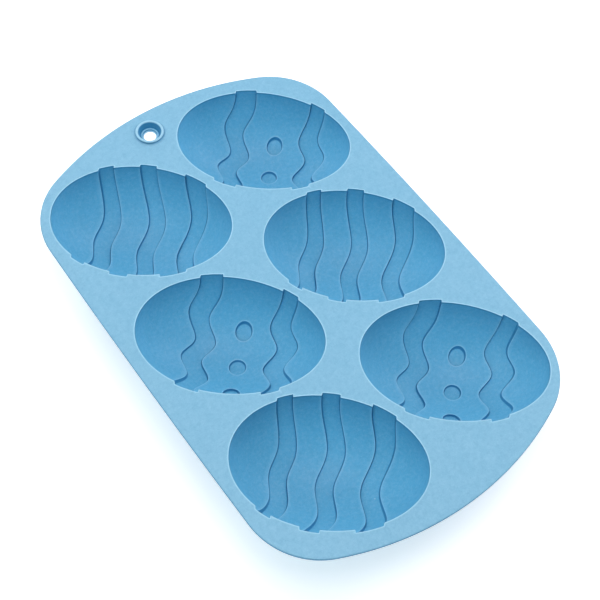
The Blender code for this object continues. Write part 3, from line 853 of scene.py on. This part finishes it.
def add_mouth_lip(skin, pattern, centre, known_top, known_low):
    """The bead round one mouth and the wall down to the seam. Returns its top and bottom loops."""
    plain = round_trip(*(cavity_grid(pattern, 0.0)[k] for k in (0, 2, 3)))
    guide = egg_guide(plain, pattern[-1])
    rings = []
    for away, height in RIM_PROFILE:
        ring = pushed_out(plain, away, guide)
        ring[:, 2] = height
        rings.append(to_tray(ring, centre))
    # Painted highlight on the bead, painted shade and the cavities' painted shade colour below it
    marks, inner = list(RIM_MARKS), list(RIM_PAINTED_SHADE_SHARES)
    for drop, mark in (*BELOW_RIM, (SEAM, 0.0)):
        rings.append(mouth_ring(pattern, drop, centre))
        marks.append(mark)
        inner.append(1.0)
    rings = np.array(rings)
    normals = grid_normals(rings, closed=True)
    middle = len(RIM_PROFILE) // 2
    normals *= np.sign(np.sum(normals[middle, :, 2]))
    normals[0] = sag_normals(rings[0])
    normals[-1] = seam_normals(pattern, SEAM, centre)
    index = skin.add(rings, np.array(marks)[:, None], np.array(inner)[:, None])
    skin.quads(index, normals, closed=True)
    return web_loops(index, normals[0], known_top, known_low)


def add_outer_edge(skin, known_top, known_low):
    """The rolled edge round the tray. Returns its top and bottom loops."""
    outline = tray_outline()
    flat = np.column_stack([outline, np.zeros(len(outline))])
    turns = np.linspace(pi / 2, 0, len(EDGE_MARKS) // 2)
    profile = [(EDGE_ROLL * (1 - cos(t)), -EDGE_ROLL * (1 - sin(t))) for t in turns]
    profile += [(EDGE_ROLL * (1 - cos(t)), EDGE_ROLL * (1 - sin(t)) - WEB_THICKNESS)
                for t in turns[::-1]]
    rings = np.array([soften(level(pushed_out(flat, -away), WEB_TOP + height))
                      for away, height in profile])
    normals = grid_normals(rings, closed=True)
    side = len(rings) // 2
    outward = unit(level(rings[side], 0.0))
    normals *= np.sign(np.sum(normals[side - 1] * outward))
    normals[0] = sag_normals(rings[0])
    normals[-1] = DOWN
    index = skin.add(rings, np.array(EDGE_MARKS)[:, None])
    skin.quads(index, normals, closed=True)
    return web_loops(index, normals[0], known_top, known_low)


def add_eyelet_seat(skin, known_top, known_low):
    """The web round the eyelet, with painted shade where they meet, and its hole, hidden inside
    the ring.
    """
    turns = 2 * pi * np.arange(EYELET_SIDES) / EYELET_SIDES
    out = np.column_stack([np.cos(turns), np.sin(turns)])
    middle = np.array(EYELET_PLACE[:2])
    hidden = EYELET_RADIUS - SEAT_TUCK
    # The third value of each level is a mark of painted shade, as under the raised ring
    levels = ((EYELET_RADIUS + SEAT_FADE, 0.0, 0.0), (EYELET_RADIUS + SEAT_SHADE, 0.0, 0.6),
              (hidden, 0.0, 1.0), (hidden, WEB_THICKNESS, 0.0))
    rings = np.array([soften(level(middle + radius * out, WEB_TOP - drop))
                      for radius, drop, _ in levels])
    index = skin.add(rings, np.array([mark for *_, mark in levels])[:, None])
    skin.quads(index[:3], sag_normals(rings[:3]), closed=True)
    inward = level(-out, 0.0)
    skin.quads(index[2:], np.array([inward, inward]), closed=True)
    return web_loops(index, sag_normals(rings[0]), known_top, known_low)


def nearest(spots, others):
    """Distance from each flat spot to the nearest of some others."""
    gaps = np.hypot(spots[:, None, 0] - others[None, :, 0], spots[:, None, 1] - others[None, :, 1])
    return gaps.min(axis=1)


def fade_points(loop):
    """Points on the web a little outside a bead's foot, where its painted highlight has faded out.
    """
    tangent = unit(np.roll(loop, -1, axis=0) - np.roll(loop, 1, axis=0))
    spots = loop + np.stack([tangent[:, 1], -tangent[:, 0]], axis=-1) * BEAD_FADE
    chosen = []
    for spot in spots[nearest(spots, loop) > 0.9 * BEAD_FADE]:
        if all(hypot(*(spot - other)) > 2 * BEAD_FADE for other in (chosen[-1:] + chosen[:1])):
            chosen.append(spot)
    return chosen


def inner_points(loops, clearance):
    """A staggered grid of flat points inside the first loop and outside the others."""
    border = np.vstack(loops)
    spots = []
    rows = int(TRAY_LENGTH / GRID_SPACING) + 1
    columns = int(TRAY_WIDTH / GRID_SPACING) + 1
    for i in range(rows):
        for j in range(columns):
            spots.append(((j - columns / 2 + 0.25 + 0.5 * (i % 2)) * GRID_SPACING,
                          (i - rows / 2 + 0.5) * GRID_SPACING))
    spots = np.array(spots)
    count = sum(inside(spots, loop) for loop in loops)
    spots = spots[count == 1]
    return spots[nearest(spots, border) > clearance]


def add_web():
    """The web: its outer edge, the beads round the mouths, the eyelet's seat, and both faces."""
    skin = Skin()
    known_top, known_low = {}, {}
    loops = [add_outer_edge(skin, known_top, known_low)]
    for pattern, centre in CUPS.values():
        loops.append(add_mouth_lip(skin, pattern, centre, known_top, known_low))
    loops.append(add_eyelet_seat(skin, known_top, known_low))
    for which, known, height in ((0, known_top, WEB_TOP),
                                 (1, known_low, WEB_TOP - WEB_THICKNESS)):
        chosen = [pair[which] for pair in loops]
        borders = [skin.spots(loop)[:, :2] for loop in chosen]
        extra = inner_points(borders, 0.45 * GRID_SPACING)
        if which == 0:
            faded = [spot for border in borders[1:-1] for spot in fade_points(border)]
            extra = np.vstack([extra, faded])
        points = soften(level(extra, height))
        index = skin.add(points)
        normals = sag_normals(points) if which == 0 else [DOWN] * len(points)
        known.update(zip(index.tolist(), normals))
        flat = dict(zip(known, skin.spots(list(known))[:, :2].tolist()))
        skin.fill_between(chosen, flat, known, index.tolist())
    return skin.piece("web_skin", WEB_SILICONE)


# ---- eyelet ----
WALL_SHARES = (0.15, 0.85)   # where a wall between two rounded corners has rings of its own
CORNER_STEPS = 7
LIP_ROUNDING = 0.00045
FINE_ROUNDING = 0.00015      # of the step's corners


def corner_arc(before, here, after, rounding):
    """Points and normals round one corner of a closed profile."""
    here = np.array(here)
    a, b = unit(np.array(before) - here), unit(np.array(after) - here)
    half = np.arccos(np.clip(np.dot(a, b), -1, 1)) / 2
    reach = rounding / tan(half)
    start, end = here + a * reach, here + b * reach
    middle = here + unit(a + b) * rounding / sin(half)
    facing = 1 if np.cross(-a, b) > 0 else -1
    shares = np.linspace(0, 1, CORNER_STEPS)[:, None]
    spokes = unit((start - middle) * (1 - shares) + (end - middle) * shares)
    return middle + spokes * rounding, spokes * facing


def rounded_profile(corners):
    """Points, normals, marks of painted highlight and shade, and share of painted shade colour of
    a closed profile of rounded corners.

    Each corner is (radius, height, rounding, mark, inner, mark of the wall after it, its inner).
    """
    count = len(corners)
    arcs = [corner_arc(corners[k - 1][:2], corners[k][:2], corners[(k + 1) % count][:2],
                       corners[k][2]) for k in range(count)]
    points, normals, marks, inner = [], [], [], []
    for k, (arc, directions) in enumerate(arcs):
        mark, painted_shade_share, wall_mark, wall_painted_shade_share = corners[k][3:]
        following = arcs[(k + 1) % count][0][0]
        points += [*arc, *(arc[-1] + (following - arc[-1]) * share for share in WALL_SHARES)]
        normals += [*directions, *(directions[-1] for _ in WALL_SHARES)]
        marks += [mark] * len(arc) + [wall_mark] * len(WALL_SHARES)
        inner += [painted_shade_share] * len(arc) + [wall_painted_shade_share] * len(WALL_SHARES)
    return np.array(points), np.array(normals), np.array(marks), np.array(inner)


def add_eyelet():
    """A turned ring: raised lip, tapered counterbore, a step and the through hole."""
    outer, foot = EYELET_RADIUS, EYELET_RADIUS - FOOT_INSET
    inner = outer - LIP_WIDTH
    # Marks below zero paint highlights on the lip and the step's edges, marks above zero paint
    # shade on the ring's outside and down the bore; inner shares lay the cavities' painted shade
    # colour in the bore
    corners = [
        (HANG_HOLE_RADIUS, -EYELET_DEPTH, 0.00020, -0.3, 0.5, 0.0, 0.0),
        (foot, -EYELET_DEPTH, 0.00060, -0.2, 0.0, 0.0, 0.0),
        (outer - 0.0003, -WEB_THICKNESS - 0.0008, 0.00040, 0.0, 0.0, 0.8, 0.6),
        (outer, LIP_HEIGHT, LIP_ROUNDING, -0.5, 0.0, -0.6, 0.0),
        (inner, LIP_HEIGHT, LIP_ROUNDING, -0.7, 0.0, 1.0, 1.0),
        (COUNTERBORE_RADIUS, -COUNTERBORE_DEPTH, 0.00020, 1.4, 1.0, -0.1, 0.7),
        (STEP_RADIUS, -COUNTERBORE_DEPTH, FINE_ROUNDING, -1.0, 0.2, 0.5, 0.8),
        (STEP_RADIUS - STEP_DRAFT, -STEP_DEPTH, FINE_ROUNDING, 0.7, 0.8, -0.3, 0.3),
        (HANG_HOLE_RADIUS, -STEP_DEPTH, FINE_ROUNDING, -1.0, 0.0, -0.3, 0.0),
    ]
    points, normals, marks, painted_shade_share = rounded_profile(corners)
    turns = 2 * pi * np.arange(EYELET_SIDES) / EYELET_SIDES
    rings, ring_normals = [], []
    for (r, z), (nr, nz) in zip(points, normals):
        rings.append(np.column_stack([EYELET_PLACE.x + r * np.cos(turns),
                                      EYELET_PLACE.y + r * np.sin(turns),
                                      np.full(EYELET_SIDES, WEB_TOP + z)]))
        ring_normals.append(np.column_stack([nr * np.cos(turns), nr * np.sin(turns),
                                             np.full(EYELET_SIDES, nz)]))
    skin = Skin()
    index = skin.add(soften(np.array(rings)), marks[:, None], painted_shade_share[:, None])
    index = np.vstack([index, index[:1]])
    ring_normals.append(ring_normals[0])
    skin.quads(index, np.array(ring_normals), closed=True)
    return skin.piece("eyelet_skin", EYELET_SILICONE)


# ---- stage, camera and light ----
CAMERA_LENS = 71.43          # millimetres
CAMERA_SENSOR = 36.0         # millimetres
CAMERA_AZIMUTH = radians(-40.90)
CAMERA_ELEVATION = radians(59.44)
CAMERA_ROLL = radians(5.79)
CAMERA_DISTANCE = 0.6264
CAMERA_AIM = (-0.000915, -0.007164)
CAMERA_REACH = (0.01, 20.0)
FLOOR_HALF = 20.0
FLOOR_WHITE = (0.86, 0.87, 0.88)
FLOOR_GLOW = 0.40            # round the mould
FAR_GLOW = 0.95
GLOW_RANGE = (0.5, 2.2)      # distance from the mould over which the glow grows
SKY_STRENGTH = 0.20
BACKDROP_WHITE = (0.93, 0.95, 0.96)
WARM = (1.0, 0.885, 0.885)
COOL = (0.84, 1.0, 1.0)
SOFTBOX_SIZE = 0.6
SOFTBOX_DISTANCE = 0.9
SOFTBOXES = (                # name, azimuth and elevation in degrees, watts, colour
    ("far_left_softbox", -175.9, 25.0, 3.88, WARM),
    ("far_right_softbox", 94.1, 25.0, 5.24, WARM),
    ("overhead_softbox", -40.9, 88.0, 3.77, WARM),
    ("near_left_softbox", -85.9, 45.0, 1.94, COOL),
    ("near_right_softbox", 4.1, 45.0, 0.73, COOL),
)


def away_from_mould(turn, rise):
    """The direction from the mould to a camera or a lamp, from its azimuth and elevation."""
    return Vector((sin(turn) * cos(rise), -cos(turn) * cos(rise), sin(rise)))


def add_camera():
    back = away_from_mould(CAMERA_AZIMUTH, CAMERA_ELEVATION)
    right = Vector((0, 0, 1)).cross(back).normalized()
    up = back.cross(right)
    turned_right = right * cos(CAMERA_ROLL) + up * sin(CAMERA_ROLL)
    turned_up = up * cos(CAMERA_ROLL) - right * sin(CAMERA_ROLL)
    data = bpy.data.cameras.new("camera")
    data.lens = CAMERA_LENS
    data.sensor_width = CAMERA_SENSOR
    data.clip_start, data.clip_end = CAMERA_REACH
    camera = new_object("camera", data)
    place = Vector((*CAMERA_AIM, WEB_TOP)) + back * CAMERA_DISTANCE
    axes = Matrix((turned_right, turned_up, back)).transposed().to_4x4()
    camera.matrix_world = Matrix.Translation(place) @ axes
    bpy.context.scene.camera = camera


def add_area(name, azimuth, elevation, power, colour):
    """A square softbox that faces the mould."""
    out = away_from_mould(radians(azimuth), radians(elevation))
    data = bpy.data.lights.new(name, "AREA")
    data.shape = "SQUARE"
    data.size = SOFTBOX_SIZE
    data.energy = power
    data.color = colour
    lamp = new_object(name, data)
    lamp.visible_camera = False
    lamp.location = out * SOFTBOX_DISTANCE + Vector((0, 0, WEB_TOP))
    lamp.rotation_euler = out.to_track_quat("Z", "Y").to_euler()


def add_far_glow(tree, socket):
    """The floor glows faintly round the mould and more with distance, like a lit studio sweep."""
    nodes, links = tree.nodes, tree.links
    place = nodes.new("ShaderNodeNewGeometry")
    reach = nodes.new("ShaderNodeVectorMath")
    reach.operation = "LENGTH"
    ramp = nodes.new("ShaderNodeMapRange")
    ramp.interpolation_type = "SMOOTHSTEP"
    for name, value in (("From Min", GLOW_RANGE[0]), ("From Max", GLOW_RANGE[1]),
                        ("To Min", FLOOR_GLOW), ("To Max", FAR_GLOW)):
        ramp.inputs[name].default_value = value
    links.new(place.outputs["Position"], reach.inputs[0])
    links.new(reach.outputs["Value"], ramp.inputs["Value"])
    links.new(ramp.outputs["Result"], socket)


def add_floor():
    mesh = bpy.data.meshes.new("studio_floor")
    h = FLOOR_HALF
    mesh.from_pydata([(-h, -h, 0), (h, -h, 0), (h, h, 0), (-h, h, 0)], [], [(0, 1, 2, 3)])
    material = bpy.data.materials.new("studio_floor_paint")
    material.use_nodes = True
    shader = material.node_tree.nodes["Principled BSDF"]
    shader.inputs["Base Color"].default_value = (*FLOOR_WHITE, 1.0)
    shader.inputs["Roughness"].default_value = 0.9
    shader.inputs["Specular IOR Level"].default_value = 0.1
    shader.inputs["Emission Color"].default_value = (1.0, 1.0, 1.0, 1.0)
    add_far_glow(material.node_tree, shader.inputs["Emission Strength"])
    mesh.materials.append(material)
    floor = new_object("studio_floor", mesh)


def add_world():
    """A dim sky for the mould, and a pale backdrop wherever the floor doesn't reach."""
    world = bpy.data.worlds.new("studio")
    world.use_nodes = True
    nodes, links = world.node_tree.nodes, world.node_tree.links
    sky = nodes["Background"]
    sky.inputs["Color"].default_value = (*COOL, 1.0)
    sky.inputs["Strength"].default_value = SKY_STRENGTH
    backdrop = nodes.new("ShaderNodeBackground")
    backdrop.inputs["Color"].default_value = (*BACKDROP_WHITE, 1.0)
    backdrop.inputs["Strength"].default_value = 1.0
    rays = nodes.new("ShaderNodeLightPath")
    mix = nodes.new("ShaderNodeMixShader")
    links.new(rays.outputs["Is Camera Ray"], mix.inputs[0])
    links.new(sky.outputs[0], mix.inputs[1])
    links.new(backdrop.outputs[0], mix.inputs[2])
    links.new(mix.outputs[0], nodes["World Output"].inputs["Surface"])
    bpy.context.scene.world = world


def main():
    pieces = [(add_web(), "web", "web_silicone"),
              (add_eyelet(), "hanging_eyelet", "eyelet_silicone")]
    for node, (pattern, centre) in CUPS.items():
        skin = add_cup(node.replace("_cup_", "_cavity_") + "_skin", pattern, centre)
        pieces.append((skin, node, "cavity_silicone"))
    for piece, node, slot in pieces:
        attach(piece, "root")
        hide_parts(node)
    add_floor()
    add_world()
    add_camera()
    for softbox in SOFTBOXES:
        add_area(*softbox)
    bpy.context.scene.view_settings.view_transform = "Standard"


main()
